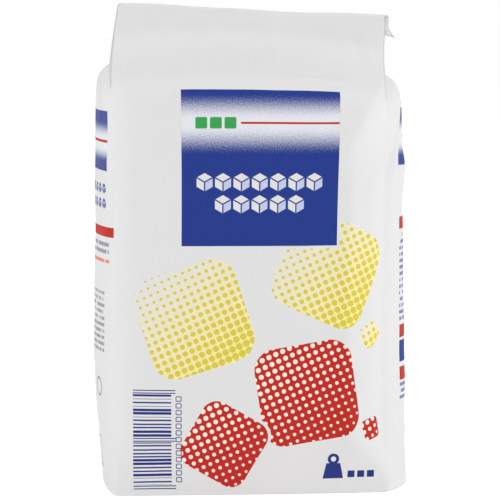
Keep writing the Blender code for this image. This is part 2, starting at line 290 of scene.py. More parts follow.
# Camera and lights
CAMERA_TARGET = (-0.0004, 0.0, 0.0908)
CAMERA_DISTANCE = 0.90
CAMERA_AROUND = math.radians(-5.0)
CAMERA_ABOVE = math.radians(6.5)
CAMERA_ROLL = math.radians(0.3)
CAMERA_LENS = 165.6
WORLD_STRENGTH = 0.37
TOP_STRENGTH = 1.38
FLOOR_GLOW = 0.295
FLOOR_HALF = 60.0
SOFT_BOXES = (               # name, place, size, power
    ("key_right", (1.10, -0.02, 0.30), (0.3, 0.8), 3.9),
    ("fill_left", (-1.10, 0.0, 0.30), (0.3, 0.8), 3.0),
    ("front", (0.0, -1.6, 0.9), (1.2, 1.2), 6.0),
    ("fill_back", (0.2, 1.2, 0.35), (0.9, 0.8), 2.0),
)


# ---------------------------------------------------------------- form of the filled packet

def ring_columns():
    """The tube's columns, once round from the front left crease: panel number and place, 0 to 1."""
    places = [np.arange(cells) / cells for cells in PANEL_CELLS]
    return np.repeat(range(4), PANEL_CELLS), np.concatenate(places)


def ring_spacing():
    """Paper between each column and the next, once round."""
    return np.repeat([FRONT_CELL, GUSSET_CELL] * 2, PANEL_CELLS)


def ring_places():
    """Each column's place round the paper, from the front left crease."""
    return np.concatenate([[0.0], np.cumsum(ring_spacing())[:-1]])


def is_wide(panels):
    """Whether each column belongs to the front or the back."""
    return (panels == FRONT) | (panels == BACK)


def by_panel(panels, front, right, back, left):
    """Pick each column's value from its own panel's formula."""
    return np.choose(panels, [front, right, back, left])


def named_by_panel(panels, table):
    """Pick each column's value from a table with one entry for the wide panels and one a side."""
    return by_panel(panels, table["wide"], table["right"], table["wide"], table["left"])


def unit(value):
    """Value kept within 0 and 1."""
    return np.clip(value, 0.0, 1.0)


def smooth_step(value):
    """From 0 to 1 without a corner at either end, for value from 0 to 1."""
    value = unit(value)
    return value * value * (3.0 - 2.0 * value)


def rising(value, start, ramp):
    """0 up to start, then smoothly up to 1 over the ramp."""
    return smooth_step((value - start) / ramp)


def falling(value, end, ramp):
    """1, then smoothly down over the ramp to 0 at the end."""
    return smooth_step((end - value) / ramp)


def block_plan(panels, places):
    """Plan points of the upright block that the four panels stand round before they bulge."""
    along = places * 2.0 - 1.0
    x = by_panel(panels, along * HALF_WIDTH, HALF_WIDTH, -along * HALF_WIDTH, -HALF_WIDTH)
    y = by_panel(panels, -HALF_DEPTH, along * HALF_DEPTH, HALF_DEPTH, -along * HALF_DEPTH)
    return np.stack([x, y], axis=1)


def tuck_at(places):
    """Paper from each place on a side panel to the nearer of its creases."""
    return HALF_DEPTH * (1.0 - np.abs(places * 2.0 - 1.0))


def inner_layer(tuck):
    """Where a tucked layer lies, from the middle: with the outer one at their crease, then within it."""
    near_crease = 1.0 - unit(tuck / CREASE_TAPER)
    return LAYER_INNER + (LAYER_OUTER - LAYER_INNER) * near_crease


def neck_plan(panels, places, share):
    """Where each column stands in the neck: its distance along it, and its layer's offset.

    share is how much of the side panels' half width is tucked in.
    """
    along = places * 2.0 - 1.0
    tuck = tuck_at(places) * share
    distance = by_panel(panels, along * HALF_WIDTH, HALF_WIDTH - tuck,
                        -along * HALF_WIDTH, tuck - HALF_WIDTH)
    inner = inner_layer(tuck)
    layer = by_panel(panels, -LAYER_OUTER, np.sign(along) * inner, LAYER_OUTER, -np.sign(along) * inner)
    return distance, layer


def bulge_size(panels, paper_height):
    """How far the middle of each column's panel bulges at a paper height."""
    start = named_by_panel(panels, BULGE_AT_BOTTOM)
    grown = np.sin(0.5 * np.pi * unit(paper_height / named_by_panel(panels, BULGE_RISE)))
    kept = 1.0 - named_by_panel(panels, BULGE_LOSS) * paper_height / BODY_PAPER
    return named_by_panel(panels, BULGE) * (start + (1.0 - start) * grown) * kept


def body_heights():
    """Paper heights of the rows of the body and shoulders, from the bottom to the foot of the neck."""
    roll = np.linspace(0.0, ROLL_PAPER, ROLL_ROWS + 1)
    body = np.linspace(ROLL_PAPER, BODY_PAPER, BODY_ROWS + 1)
    return np.concatenate([roll, body[1:]])


def neck_rise(panels, places):
    """How much higher the neck's foot is than at the ends, where the filling pushes the wide panels up."""
    return np.where(is_wide(panels), NECK_RISE * (1.0 - (places * 2.0 - 1.0) ** 2), 0.0)


def paper_heights(panels, places, heights):
    """Each row's height on the flat paper, column by column: the upper rows climb with the neck's foot."""
    climb = rising(heights, CLIMB_START, BODY_PAPER - CLIMB_START)
    return heights[:, None] + climb[:, None] * neck_rise(panels, places)


def shoulder_base(distance, rise):
    """The level where the panels turn in, and the level of the neck's foot.

    The front panel leans from the one to the other, back by half the packet's depth. That and the
    paper's length fix where it starts. The side's middle goes in as far, as a folded triangle.
    """
    foot = NECK_FOOT + rise + distance * math.sin(NECK_TILT)
    rightward = 0.5 + 0.5 * distance / HALF_WIDTH
    paper = BODY_PAPER + rise - ROLL_PAPER + BOTTOM_ROLL - CRUMPLED_RIGHT * rightward
    return (paper ** 2 - foot ** 2 - HALF_DEPTH ** 2) / (2.0 * (paper - foot)), foot


def leaning_share(height, base, rise):
    """How much of the leaning part's paper lies below each point."""
    base_paper = base + ROLL_PAPER - BOTTOM_ROLL
    return unit((height - base_paper) / (BODY_PAPER + rise - base_paper))


def body_points(panels, places, heights):
    """Rows of points of the filled body and its shoulders."""
    along = places * 2.0 - 1.0
    arch = (1.0 - along ** 2) * (1.0 - np.where(panels == RIGHT, BULGE_SKEW * along, 0.0))
    block = block_plan(panels, places)
    wide = is_wide(panels)
    side = np.sign(block[:, 0])
    rise = neck_rise(panels, places)
    base, foot = shoulder_base(np.where(wide, block[:, 0], side * HALF_WIDTH), rise)
    height = paper_heights(panels, places, heights)
    gone = leaning_share(height, base, rise)

    # the panels stand on their rolled edge, then lean in; the sides' middles turn in later
    level = np.where(height < ROLL_PAPER, BOTTOM_ROLL * (1.0 - np.cos(height / BOTTOM_ROLL)),
                     height - ROLL_PAPER + BOTTOM_ROLL)
    late = np.where(wide, 1.0, 1.0 + (named_by_panel(panels, PUFFED) - 1.0) * arch)
    risen = 1.0 - (1.0 - gone) ** late
    turned_in = gone ** late
    tuck = tuck_at(places)
    tucked = np.minimum(HALF_DEPTH * turned_in, tuck) * named_by_panel(panels, TUCKED_AT_FOOT)
    leaning = HALF_DEPTH * (1.0 - gone)
    depth = np.where(wide, leaning, np.minimum(HALF_DEPTH - tuck, leaning))
    x = np.where(wide, block[:, 0], side * (HALF_WIDTH - tucked))
    x = x * (1.0 - gone + gone * math.cos(NECK_TILT))
    z = np.where(gone > 0, base + risen * (foot - base), level)
    roof = base + (1.0 - depth / HALF_DEPTH) * (foot - base)
    z = np.where(wide | (gone == 0), z, np.minimum(z, roof))

    # the layers of the leaning part lie on each other: wide panel outside, tucked paper under it
    slope = np.hypot(foot - base, HALF_DEPTH)
    under = unit((HALF_DEPTH * gone - tuck) / MM)
    layer = np.where(wide, LAYER_OUTER, inner_layer(tuck) * under) * unit(gone / LAYER_START)
    depth = depth + layer * (foot - base) / slope * (1.0 - gone) + layer * gone
    z = z + layer * HALF_DEPTH / slope * (1.0 - gone) * unit((1.0 - gone) / LAYER_START)
    y = depth * by_panel(panels, -1.0, np.sign(along), 1.0, -np.sign(along))

    # the filling's bulge, the swell of the leaning panels and the corners pushed out
    inset = BOTTOM_ROLL * (1.0 - np.sin(np.clip(height / BOTTOM_ROLL, 0.0, math.pi / 2)))
    swell = arch * bulge_size(panels, np.minimum(height, BODY_PAPER)) * (1.0 - turned_in)
    cushion = SHOULDER_SWELL * np.sin(np.pi * gone) * np.where(wide, arch, 0.0)
    outward = OUTWARD[panels]
    x = x * (1.0 - inset / HALF_WIDTH) + outward[:, 0] * swell
    y = y * (1.0 - inset / HALF_DEPTH) + outward[:, 1] * (swell + cushion * 0.5)
    from_corner = HALF_WIDTH * (1.0 - np.abs(along)) * np.where(wide, 1.0, HALF_DEPTH / HALF_WIDTH)
    push = np.where(side > 0, CORNER_PUSH["right"], -CORNER_PUSH["left"])
    pushed = rising(height, *PUSH_RISE) * falling(height, *PUSH_FALL)
    x = x + push * np.exp(-(from_corner / PUSH_REACH) ** 2) * pushed
    return np.stack([x, y, z + cushion], axis=2)


def neck_rows(panels, places):
    """Rows from the neck's foot to the flap's edge: distance along the neck, offset back, level, shift."""
    rows = []
    at_foot = named_by_panel(panels, TUCKED_AT_FOOT)
    rise = neck_rise(panels, places)
    for step in range(1, NECK_ROWS + 1):
        fraction = step / NECK_ROWS
        distance, layer = neck_plan(panels, places, at_foot + (1.0 - at_foot) * smooth_step(2.0 * fraction))
        rows.append((distance, layer, rise + (NECK_HEIGHT - rise) * fraction, 0.0))
    distance, layer = neck_plan(panels, places, 1.0)
    radius = FOLD_RADIUS - layer
    for step in range(1, FOLD_ROWS + 1):
        angle = math.pi * step / FOLD_ROWS
        rows.append((distance, FOLD_RADIUS - radius * math.cos(angle),
                     NECK_HEIGHT + radius * math.sin(angle), FLAP_SHIFT * step / FOLD_ROWS))
    rightward = 0.5 + 0.5 * distance / HALF_WIDTH
    for step in range(1, FLAP_ROWS + 1):
        fraction = step / FLAP_ROWS
        fallen = FLAP_HEIGHT * fraction * (1.0 - FLAP_SHORTER_RIGHT * rightward)
        rows.append((distance, 2 * FOLD_RADIUS - layer + FLAP_SPRING * fraction ** 2,
                     NECK_HEIGHT - fallen, FLAP_SHIFT))
    return rows


def wavy(distance, waves):
    """Sum of sine waves along the neck."""
    return sum(size * np.sin(distance / pitch + start) for size, pitch, start in waves)


def neck_points(panels, places):
    """Rows of the neck, of the turn over its top and of the flap down its back.

    The flap is a little askew: it stands out past the neck's right end, and it is shorter there.
    """
    distance, offset, level, shift = (np.array(values) for values in zip(*neck_rows(panels, places)))
    top = unit(level / NECK_HEIGHT) ** 2
    level = level + wavy(distance, NECK_WAVES) * top
    distance = np.where(distance < 0, distance * (1.0 - NECK_TAPER * np.sqrt(top)), distance)
    offset = offset + wavy(distance, NECK_SWAYS) * top
    corner_level = NECK_HEIGHT - FLAP_HEIGHT * (1.0 - FLAP_SHORTER_RIGHT)
    from_corner = np.hypot(distance - HALF_WIDTH, level - corner_level)
    ear = unit(1.0 - from_corner / EAR_SIZE) ** 1.5
    ear[:NECK_ROWS + FOLD_ROWS] = 0.0
    distance = distance + shift[:, None] + EAR_REACH[0] * ear
    level = level + EAR_REACH[1] * ear
    x = distance * math.cos(NECK_TILT) + level * (math.tan(NECK_LEAN) - math.sin(NECK_TILT))
    z = NECK_FOOT + distance * math.sin(NECK_TILT) + level * math.cos(NECK_TILT) * math.cos(NECK_BACK)
    return np.stack([x, offset + level * math.sin(NECK_BACK), z], axis=2)


def blurred(points, spacing, spread, periodic):
    """Points moved to the average of their neighbours along axis 0, by distance along the paper."""
    place = np.concatenate([[0.0], np.cumsum(spacing)])
    gap = np.abs(place[:len(points), None] - place[None, :len(points)])
    if periodic:
        gap = np.minimum(gap, place[-1] - gap)
    weight = np.exp(-0.5 * (gap / spread) ** 2)
    weight /= weight.sum(axis=1, keepdims=True)
    return np.tensordot(weight, points, axes=1)


def blurred_around(rows, spread):
    """Rows blurred along the ring."""
    return np.swapaxes(blurred(np.swapaxes(rows, 0, 1), ring_spacing(), spread, True), 0, 1)


def blurred_upward(rows, heights, spread):
    """Rows blurred up the paper."""
    return blurred(rows, np.diff(heights), spread, False)


def blended(rows, softer, share):
    """Rows moved toward softer ones, by a share for each row or for each point."""
    return rows + (softer - rows) * share.reshape(len(rows), -1, 1)


def soften(rows, heights):
    """Round the creases of the body, the turn into the shoulders and the turn into the neck."""
    share = unit((BODY_PAPER - CRISP_TOP[0] - heights) / CRISP_TOP[1])
    share *= np.clip(heights / CRISP_BOTTOM, SOFT_AT_BOTTOM, 1.0)
    rows = blended(rows, blurred_around(rows, CORNER_SOFTNESS), share)
    ring = ring_places()
    near = np.exp(-((ring - PANEL_WIDTH) / ROUND_CORNER_WIDTH) ** 2)
    near += LEFT_ROUNDNESS * np.exp(-(np.minimum(ring, RING - ring) / LEFT_CORNER_WIDTH) ** 2)
    share = rising(heights, 0.0, ROUND_CORNER_RAMP) * falling(heights, ROUND_CORNER_END, ROUND_CORNER_RAMP)
    rows = blended(rows, blurred_around(rows, ROUND_CORNER_SOFTNESS), share[:, None] * near[None])
    share = unit((heights - TURN_START) / TURN_RAMP)
    share *= unit((BODY_PAPER - heights) / TURN_RAMP)
    rows = blended(rows, blurred_upward(rows, heights, TURN_SOFTNESS), share)
    share = unit((heights - BODY_PAPER + SOFT_SHOULDER[0]) / SOFT_SHOULDER[1])
    share *= unit((BODY_PAPER + SOFT_NECK - heights) / SOFT_NECK)
    return blended(rows, blurred_upward(rows, heights, SHOULDER_SOFTNESS), share)


def soft_ramp(value, soft):
    """0 below 0, value above it, with a soft corner."""
    return soft * np.logaddexp(0.0, value / soft)


def facet(sizes, height, place, corner, soft, slope):
    """How far back one slack corner lies; place runs across the front and on round the corner."""
    share = unit((sizes["top"] - height) / sizes["rise"])
    share = np.minimum(share, rising(height, sizes["bottom"], sizes["fall"]))
    edge = corner - sizes["width"] * share
    beyond = soft_ramp(np.minimum(place, corner) - edge, soft) - soft_ramp(0.0, soft)
    past = np.maximum(place - corner, 0.0)
    return slope * np.maximum(beyond, 0.0) * np.exp(-(past / FACET_FADE) ** 2)


def slack_corners(ring, heights):
    """How far back the paper lies where the filling leaves a front corner slack.

    On the right the front panel turns away early, from the shoulder to the bottom. On the left it
    turns away only in the shoulder.
    """
    height = heights[:, None]
    soft = RIGHT_FACET["soft"] * (1.0 + SOFTER * falling(height, *SOFTER_FALL))
    slope = RIGHT_FACET["slope"] + STEEPER * rising(height, *STEEPER_RISE)
    leftward = np.where(ring > RING / 2, RING - ring, -ring)
    return (facet(RIGHT_FACET, height, ring, PANEL_WIDTH, soft, slope)
            + facet(LEFT_FACET, height, leftward, 0.0, LEFT_FACET["soft"], LEFT_FACET["slope"]))


def packet_form():
    """The whole tube's grid of points, the rows' nominal heights and every point's paper height."""
    panels, places = ring_columns()
    heights = body_heights()
    neck = neck_points(panels, places)
    neck_paper = BODY_PAPER + NECK_HEIGHT * np.arange(1, NECK_ROWS + 1) / NECK_ROWS
    soft_heights = np.concatenate([heights, neck_paper])
    soft = soften(np.concatenate([body_points(panels, places, heights), neck[:NECK_ROWS]]), soft_heights)
    backward = slack_corners(ring_places(), soft_heights)
    soft[..., 0] += np.where(soft[..., 0] > 0, FACET_DRIFT["right"], FACET_DRIFT["left"]) * backward
    soft[..., 1] += backward
    points = np.concatenate([soft, neck[NECK_ROWS:]])
    points[0, :, 2] = 0.0
    turn = neck_paper[-1] + FOLD_RADIUS * math.pi * np.arange(1, FOLD_ROWS + 1) / FOLD_ROWS
    flap = turn[-1] + FLAP_HEIGHT * np.arange(1, FLAP_ROWS + 1) / FLAP_ROWS
    left_over = unit((neck_paper[-1] - neck_paper) / NECK_HEIGHT)[:, None]
    paper = np.concatenate([paper_heights(panels, places, heights),
                            neck_paper[:, None] + left_over * neck_rise(panels, places),
                            np.repeat(np.concatenate([turn, flap])[:, None], len(panels), axis=1)])
    return points, np.concatenate([soft_heights, turn, flap]), paper


# ---------------------------------------------------------------- paper laid round the form

def grid_normals(points):
    """Outward unit normals of the tube's grid."""
    around = np.roll(points, -1, axis=1) - np.roll(points, 1, axis=1)
    up = np.gradient(points, axis=0)
    normal = np.cross(around, up)
    return normal / np.maximum(np.linalg.norm(normal, axis=2, keepdims=True), 1e-12)


def cubic_lookup(values, at, periodic):
    """Catmull-Rom lookup along axis 0."""
    base = np.floor(at).astype(int)
    t = (at - base)[:, None]
    index = [base + shift for shift in (-1, 0, 1, 2)]
    index = [i % len(values) if periodic else np.clip(i, 0, len(values) - 1) for i in index]
    a, b, c, d = (values[i] for i in index)
    return b + 0.5 * t * (c - a + t * (2 * a - 5 * b + 4 * c - d + t * (3 * (b - c) + d - a)))


def grid_lookup(values, at_row, at_column):
    """A grid read between its rows and between its columns, which are periodic."""
    return cubic_lookup(cubic_lookup(values, at_row, False).T, at_column, True).T


def random_field(shape, cell_rows, cell_columns, random):
    """Smooth random field on the grid, periodic round the ring, about -1 to 1."""
    rows = max(4, int(shape[0] / cell_rows) + 4)
    columns = max(4, int(round(shape[1] / cell_columns)))
    coarse = random.standard_normal((rows, columns))
    return grid_lookup(coarse, np.linspace(1, rows - 2.001, shape[0]),
                       np.arange(shape[1]) * columns / shape[1])


def keep_length(first, second, rest, first_free, second_free, share=1.0):
    """Move the two ends of every edge so that its length nears rest; both arrays change in place."""
    gap = second - first
    length = np.sqrt(np.einsum("...k,...k", gap, gap))
    weight = np.maximum(first_free + second_free, 1e-9)
    step = gap * (share * (length - rest) / (length * weight))[..., None]
    first += step * first_free[..., None]
    second -= step * second_free[..., None]


def keep_paper_lengths(points, free, around, up):
    """One sweep over the paper's edges: round the ring, up the panels and both diagonals."""
    even = points[:, 0::2]
    odd = points[:, 1::2]
    keep_length(even, odd, around[0::2], free[:, 0::2], free[:, 1::2])
    following = np.roll(even, -1, axis=1)
    keep_length(odd, following, around[1::2], free[:, 1::2], np.roll(free[:, 0::2], -1, axis=1))
    points[:, 0::2] = np.roll(following, 1, axis=1)
    for start in (0, 1):
        rows = (points.shape[0] - start) // 2
        lower = points[start:start + 2 * rows:2]
        upper = points[start + 1:start + 2 * rows:2]
        lower_free = free[start:start + 2 * rows:2]
        upper_free = free[start + 1:start + 2 * rows:2]
        rise = up[start:start + 2 * rows:2]
        keep_length(lower, upper, rise, lower_free, upper_free)
        for shift in (-1, 1):
            run = around if shift == -1 else np.roll(around, 1)
            slanted = np.roll(upper, shift, axis=1)
            slanted_free = np.roll(upper_free, shift, axis=1)
            keep_length(lower, slanted, np.hypot(rise, run[None]), lower_free, slanted_free, SHEAR_SHARE)
            upper[:] = np.roll(slanted, -shift, axis=1)


def stiffened(offset):
    """Offsets smoothed as bending stiffness does: by the fourth difference along both directions."""
    def laplacian(values):
        """Second difference along both directions; the first and last rows have no row beyond them."""
        padded = np.concatenate([values[:1], values, values[-1:]])
        vertical = padded[:-2] + padded[2:] - 2 * values
        return vertical + np.roll(values, 1, axis=1) + np.roll(values, -1, axis=1) - 2 * values
    return offset - STIFF * laplacian(laplacian(offset))


def relaxed(form, normal, paper, around, free, rounds, offset, give):
    """Lay the flat sheet round the form: keep its lengths, stay on or outside the filling, resist bending.

    offset is the start, a displacement from the form. give is how far each point may sink into it.
    """
    points = form + offset
    around = around * SLACK
    up = np.diff(paper, axis=0) * SLACK
    for _ in range(rounds):
        keep_paper_lengths(points, free, around, up)
        offset = stiffened(points - form)
        proud = np.einsum("...k,...k", offset, normal)
        wanted = np.maximum(proud, -give)
        wanted = np.where(wanted > 0, wanted * (1.0 - HOLD), wanted)
        offset += normal * (wanted - proud)[..., None]
        points = form + offset * free[..., None]
    return points - form


def hidden_share(heights):
    """1 where a point of a side panel lies folded under the leaning panels, 0 where it can be seen."""
    panels, places = ring_columns()
    side = np.where(panels == RIGHT, 1.0, -1.0)
    base, _ = shoulder_base(side * HALF_WIDTH, 0.0)
    gone = leaning_share(heights[:, None], base, 0.0)
    return np.where(is_wide(panels), 0.0, unit((HALF_DEPTH * gone - tuck_at(places)) / HIDDEN_EDGE))


def calm_share(heights):
    """1 where the paper is held to its form: the side panels' shoulders and the corners beside them."""
    panels, places = ring_columns()
    from_corner = np.where(is_wide(panels), (1.0 - np.abs(places * 2.0 - 1.0)) * HALF_WIDTH, 0.0)
    return rising(heights[:, None], *CALM_RISE) * (1.0 - smooth_step(from_corner / CALM_WIDTH))


def tucked_under(points, heights):
    """The sheet with its hidden side paper laid just inside the wide panel that covers it."""
    panels, places = ring_columns()
    share_hidden = hidden_share(heights)
    share_hidden[heights > BODY_PAPER] = np.where(is_wide(panels), 0.0, 1.0)
    normal = grid_normals(points)
    in_neck = rising(heights, BODY_PAPER, NECK_CLOSED)
    room = LAYER_OUTER - LAYER_INNER + (HIDDEN_DEPTH - LAYER_OUTER) * (1.0 - in_neck)
    at_foot = named_by_panel(panels, TUCKED_AT_FOOT)
    rows = np.arange(len(heights))
    result = points.copy()
    for column in np.nonzero(~is_wide(panels))[0]:
        tuck = tuck_at(places[column])
        if tuck == 0.0:
            continue
        share = at_foot[column] + (1.0 - at_foot[column]) * in_neck
        cells = tuck * share / FRONT_CELL
        near = np.floor(cells).astype(int)
        part = (cells - near)[:, None]
        in_first_half = places[column] < 0.5
        crease = STARTS[panels[column] + (0 if in_first_half else 1)]
        step = -1 if in_first_half else 1
        a = (crease + step * near) % len(panels)
        b = (crease + step * (near + 1)) % len(panels)
        cover_point = points[rows, a] * (1.0 - part) + points[rows, b] * part
        outward = normal[rows, a] * (1.0 - part) + normal[rows, b] * part
        depth = room * min(tuck / CREASE_TAPER, 1.0)
        target = cover_point - outward * depth[:, None]
        result[:, column] += (target - points[:, column]) * share_hidden[:, column, None]
    return result


def wrinkled_paper(form, heights, paper):
    """The relaxed sheet: settled on every other row and column first, then on all of them."""
    random = np.random.default_rng(SEED)
    normal = grid_normals(form)
    around = ring_spacing()
    free = 1.0 - rising(heights - BODY_PAPER, *FREE_FALL)
    free = free[:, None] * (1.0 - hidden_share(heights)) * (1.0 - calm_share(heights))
    free[0] = 0.0
    loose = unit((heights - LOOSE_RISE[0]) / LOOSE_RISE[1])
    give = np.repeat((GIVE + LOOSE_GIVE * loose)[:, None], form.shape[1], axis=1)
    bumps = random_field(form.shape[:2], *BUMPS[:2], random) * BUMPS[2] * MM
    bumps += random_field(form.shape[:2], *LOOSE_BUMPS[:2], random) * LOOSE_BUMPS[2] * MM * loose[:, None]
    start = normal * (bumps * free)[..., None]
    rough = np.s_[::2, ::2]
    coarse = relaxed(form[rough], normal[rough], paper[rough], around[0::2] + around[1::2], free[rough],
                     COARSE_ROUNDS, start[rough], give[rough])
    at_row = np.maximum(np.linspace(0, coarse.shape[0] - 1, form.shape[0]) - 1e-6, 0.0)
    at_column = np.arange(form.shape[1]) / 2.0
    finer = np.stack([grid_lookup(coarse[..., axis], at_row, at_column) for axis in range(3)], axis=2)
    finer = relaxed(form, normal, paper, around, free, FINE_ROUNDS, finer, give)
    return tucked_under(form + finer, heights)


def hand_relief(ring, paper):
    """How far the ridges, dents and pleats stand out of the paper at each point."""
    s = np.broadcast_to(ring / MM, paper.shape)
    h = paper / MM
    total = np.zeros(paper.shape)
    for s0, h0, s1, h1, size, width in RIDGES:
        long = math.hypot(s1 - s0, h1 - h0)
        along = ((s - s0) * (s1 - s0) + (h - h0) * (h1 - h0)) / long ** 2
        away = np.abs((s - s0) * (h1 - h0) - (h - h0) * (s1 - s0)) / long
        swell = np.sin(np.pi * unit(along)) ** 0.5
        total += size * MM * swell * np.exp(-(away / width) ** 1.5)
    for s0, h0, depth, width in DENTS:
        total -= depth * MM * np.exp(-((s - s0) ** 2 + (h - h0) ** 2) / width ** 2)
    for s0, s1, h0, h1, size in PLEATS:
        rise = unit((s - s0) / (s1 - s0)) * (s < s1)
        total += size * MM * rise * np.sin(np.pi * unit((h - h0) / (h1 - h0))) ** 0.5
    return total


def finished_paper(points, heights, paper):
    """The relaxed sheet with its listed folds and a faint pebbled surface, nowhere under the floor."""
    random = np.random.default_rng(SEED + 1)
    pebbles = sum(random_field(points.shape[:2], rows, columns, random) * weight
                  for rows, columns, weight in PEBBLES)
    share = 1.0 - hidden_share(heights)
    share[heights > BODY_PAPER + NECK_HEIGHT] = 0.0
    relief = (hand_relief(ring_places(), paper) + PEBBLE * pebbles) * share
    relief *= rising(paper, 0.0, RELIEF_START)
    moved = points + grid_normals(points) * relief[..., None]
    moved[..., 2] = np.maximum(moved[..., 2], 0.0)
    return moved


# ---------------------------------------------------------------- meshes

def in_scene(name, data):
    """A new object, linked into the scene."""
    thing = bpy.data.objects.new(name, data)
    bpy.context.scene.collection.objects.link(thing)
    return thing


class PieceMesh:
    """A mesh under construction, with a map for its print and a map for baking."""

    def __init__(self, smooth=False):
        self.mesh = bmesh.new()
        self.smooth = smooth
        self.print_map = self.mesh.loops.layers.uv.new("print")
        self.bake_map = self.mesh.loops.layers.uv.new("OFBake")

    def points(self, places):
        """A new vertex at each place."""
        return [self.mesh.verts.new(place) for place in places]

    def add(self, corners, prints, bakes, material=0):
        """A face, with each corner's places on both maps."""
        face = self.mesh.faces.new(corners)
        face.material_index = material
        face.smooth = self.smooth
        for loop, at_print, at_bake in zip(face.loops, prints, bakes):
            loop[self.print_map].uv = at_print
            loop[self.bake_map].uv = at_bake

    def finish(self, name):
        """Turn the faces outward and link the piece into the scene."""
        bmesh.ops.recalc_face_normals(self.mesh, faces=self.mesh.faces)
        data = bpy.data.meshes.new(name)
        self.mesh.to_mesh(data)
        self.mesh.free()
        return in_scene(name, data)


def on_atlas(panel, x, y):
    """Place on the baked map of a place on a panel; the back lies on its side there."""
    low_x, low_y, scale = ATLAS[panel]
    across, up = (y, x) if panel == BACK else (x, y)
    return low_x + across * scale, low_y + up * scale


def edges_of(ring):
    """The front, right, back and left edges of a row once round, each with both its corners."""
    closed = list(ring) + [ring[0]]
    return [closed[STARTS[panel]:STARTS[panel + 1] + 1] for panel in range(4)]


def bottom_patch(ring):
    """Points across the bottom between the four edges of the lowest row."""
    front, right, back, left = (np.array(edge) for edge in edges_of(ring))
    back = back[::-1]
    left = left[::-1]
    s = np.linspace(0.0, 1.0, FRONT_CELLS + 1)[:, None, None]
    t = np.linspace(0.0, 1.0, GUSSET_CELLS + 1)[None, :, None]
    sides = (1 - t) * front[:, None] + t * back[:, None] + (1 - s) * left[None] + s * right[None]
    corners = ((1 - s) * (1 - t) * front[0] + s * (1 - t) * front[-1]
               + (1 - s) * t * back[0] + s * t * back[-1])
    return sides - corners


def add_bottom(piece, ring):
    """The bottom: a grid of faces inside the lowest row, sunk a little within its edge."""
    patch = bottom_patch([vert.co[:] for vert in ring])
    front, right, back, left = edges_of(ring)
    verts = {}
    for i in range(FRONT_CELLS + 1):
        verts[i, 0] = front[i]
        verts[i, GUSSET_CELLS] = back[-1 - i]
    for j in range(GUSSET_CELLS + 1):
        verts[0, j] = left[-1 - j]
        verts[FRONT_CELLS, j] = right[j]
    for i in range(1, FRONT_CELLS):
        for j in range(1, GUSSET_CELLS):
            from_edge = min(min(i, FRONT_CELLS - i) * PANEL_WIDTH / FRONT_CELLS,
                            min(j, GUSSET_CELLS - j) * MM * BOTTOM_STEP)
            sunk = BOTTOM_SUNK * rising(from_edge, *SUNK_RISE)
            verts[i, j] = piece.mesh.verts.new(patch[i, j] + np.array([0.0, 0.0, sunk]))
    for i in range(FRONT_CELLS):
        for j in range(GUSSET_CELLS):
            spots = ((i, j), (i, j + 1), (i + 1, j + 1), (i + 1, j))
            prints = [(a * FRONT_CELL, b * GUSSET_CELL) for a, b in spots]
            piece.add([verts[spot] for spot in spots], prints,
                      [on_atlas(BOTTOM, *place) for place in prints], BOTTOM)


def add_cut_edge(piece, ring):
    """The flap's cut edge: strips from each wide layer to the tucked layers, and between the wide ones."""
    front, right, back, left = edges_of(ring)
    half = GUSSET_CELLS // 2

    def add(corners, along, strip, across):
        """A face of a strip, whose corners lie so many cells along it and mm across it."""
        bakes = [on_atlas(CAP, a * FRONT_CELL, (2 * strip + b) * MM) for a, b in zip(along, across)]
        piece.add(corners, [(0.0, 0.0)] * len(corners), bakes, CAP)

    def add_strip(first, second, start, end, strip):
        """Faces between two edges, from one cell to another."""
        for a, b in zip(range(start, end), range(start + 1, end + 1)):
            add((first[a], first[b], second[b], second[a]), (a, b, b, a), strip, (0, 0, 1, 1))

    pairs = ((front[::-1], right), (back, right[::-1]), (back[::-1], left), (front, left[::-1]))
    for strip, (wide, tuck) in enumerate(pairs):
        add((wide[0], wide[1], tuck[1]), (0, 1, 1), strip, (0, 0, 1))
        add_strip(wide, tuck, 1, half, strip)
    across = back[::-1]
    add_strip(front, across, half, FRONT_CELLS - half, 4)
    add((front[half], across[half], left[half]), (0, 1, 0), 5, (0, 0, 1))
    add((front[-1 - half], across[-1 - half], right[half]), (2, 3, 2), 5, (0, 0, 1))


def paper_mesh(name, points, paper):
    """One closed mesh: the tube's grid, the bottom and the cut edge."""
    panels, _ = ring_columns()
    piece = PieceMesh(smooth=True)
    grid = [piece.points(row) for row in points]
    for column in range(points.shape[1]):
        following = (column + 1) % points.shape[1]
        panel = int(panels[column])
        cell = PANEL_WIDTHS[panel] / PANEL_CELLS[panel]
        x0 = (column - STARTS[panel]) * cell
        x1 = x0 + cell
        for row in range(len(grid) - 1):
            spots = ((row, column), (row, following), (row + 1, following), (row + 1, column))
            prints = [(x, paper[spot]) for x, spot in zip((x0, x1, x1, x0), spots)]
            piece.add([grid[a][b] for a, b in spots], prints,
                      [on_atlas(panel, *place) for place in prints], panel)
    add_bottom(piece, grid[0])
    add_cut_edge(piece, grid[-1])
    return piece.finish(name)


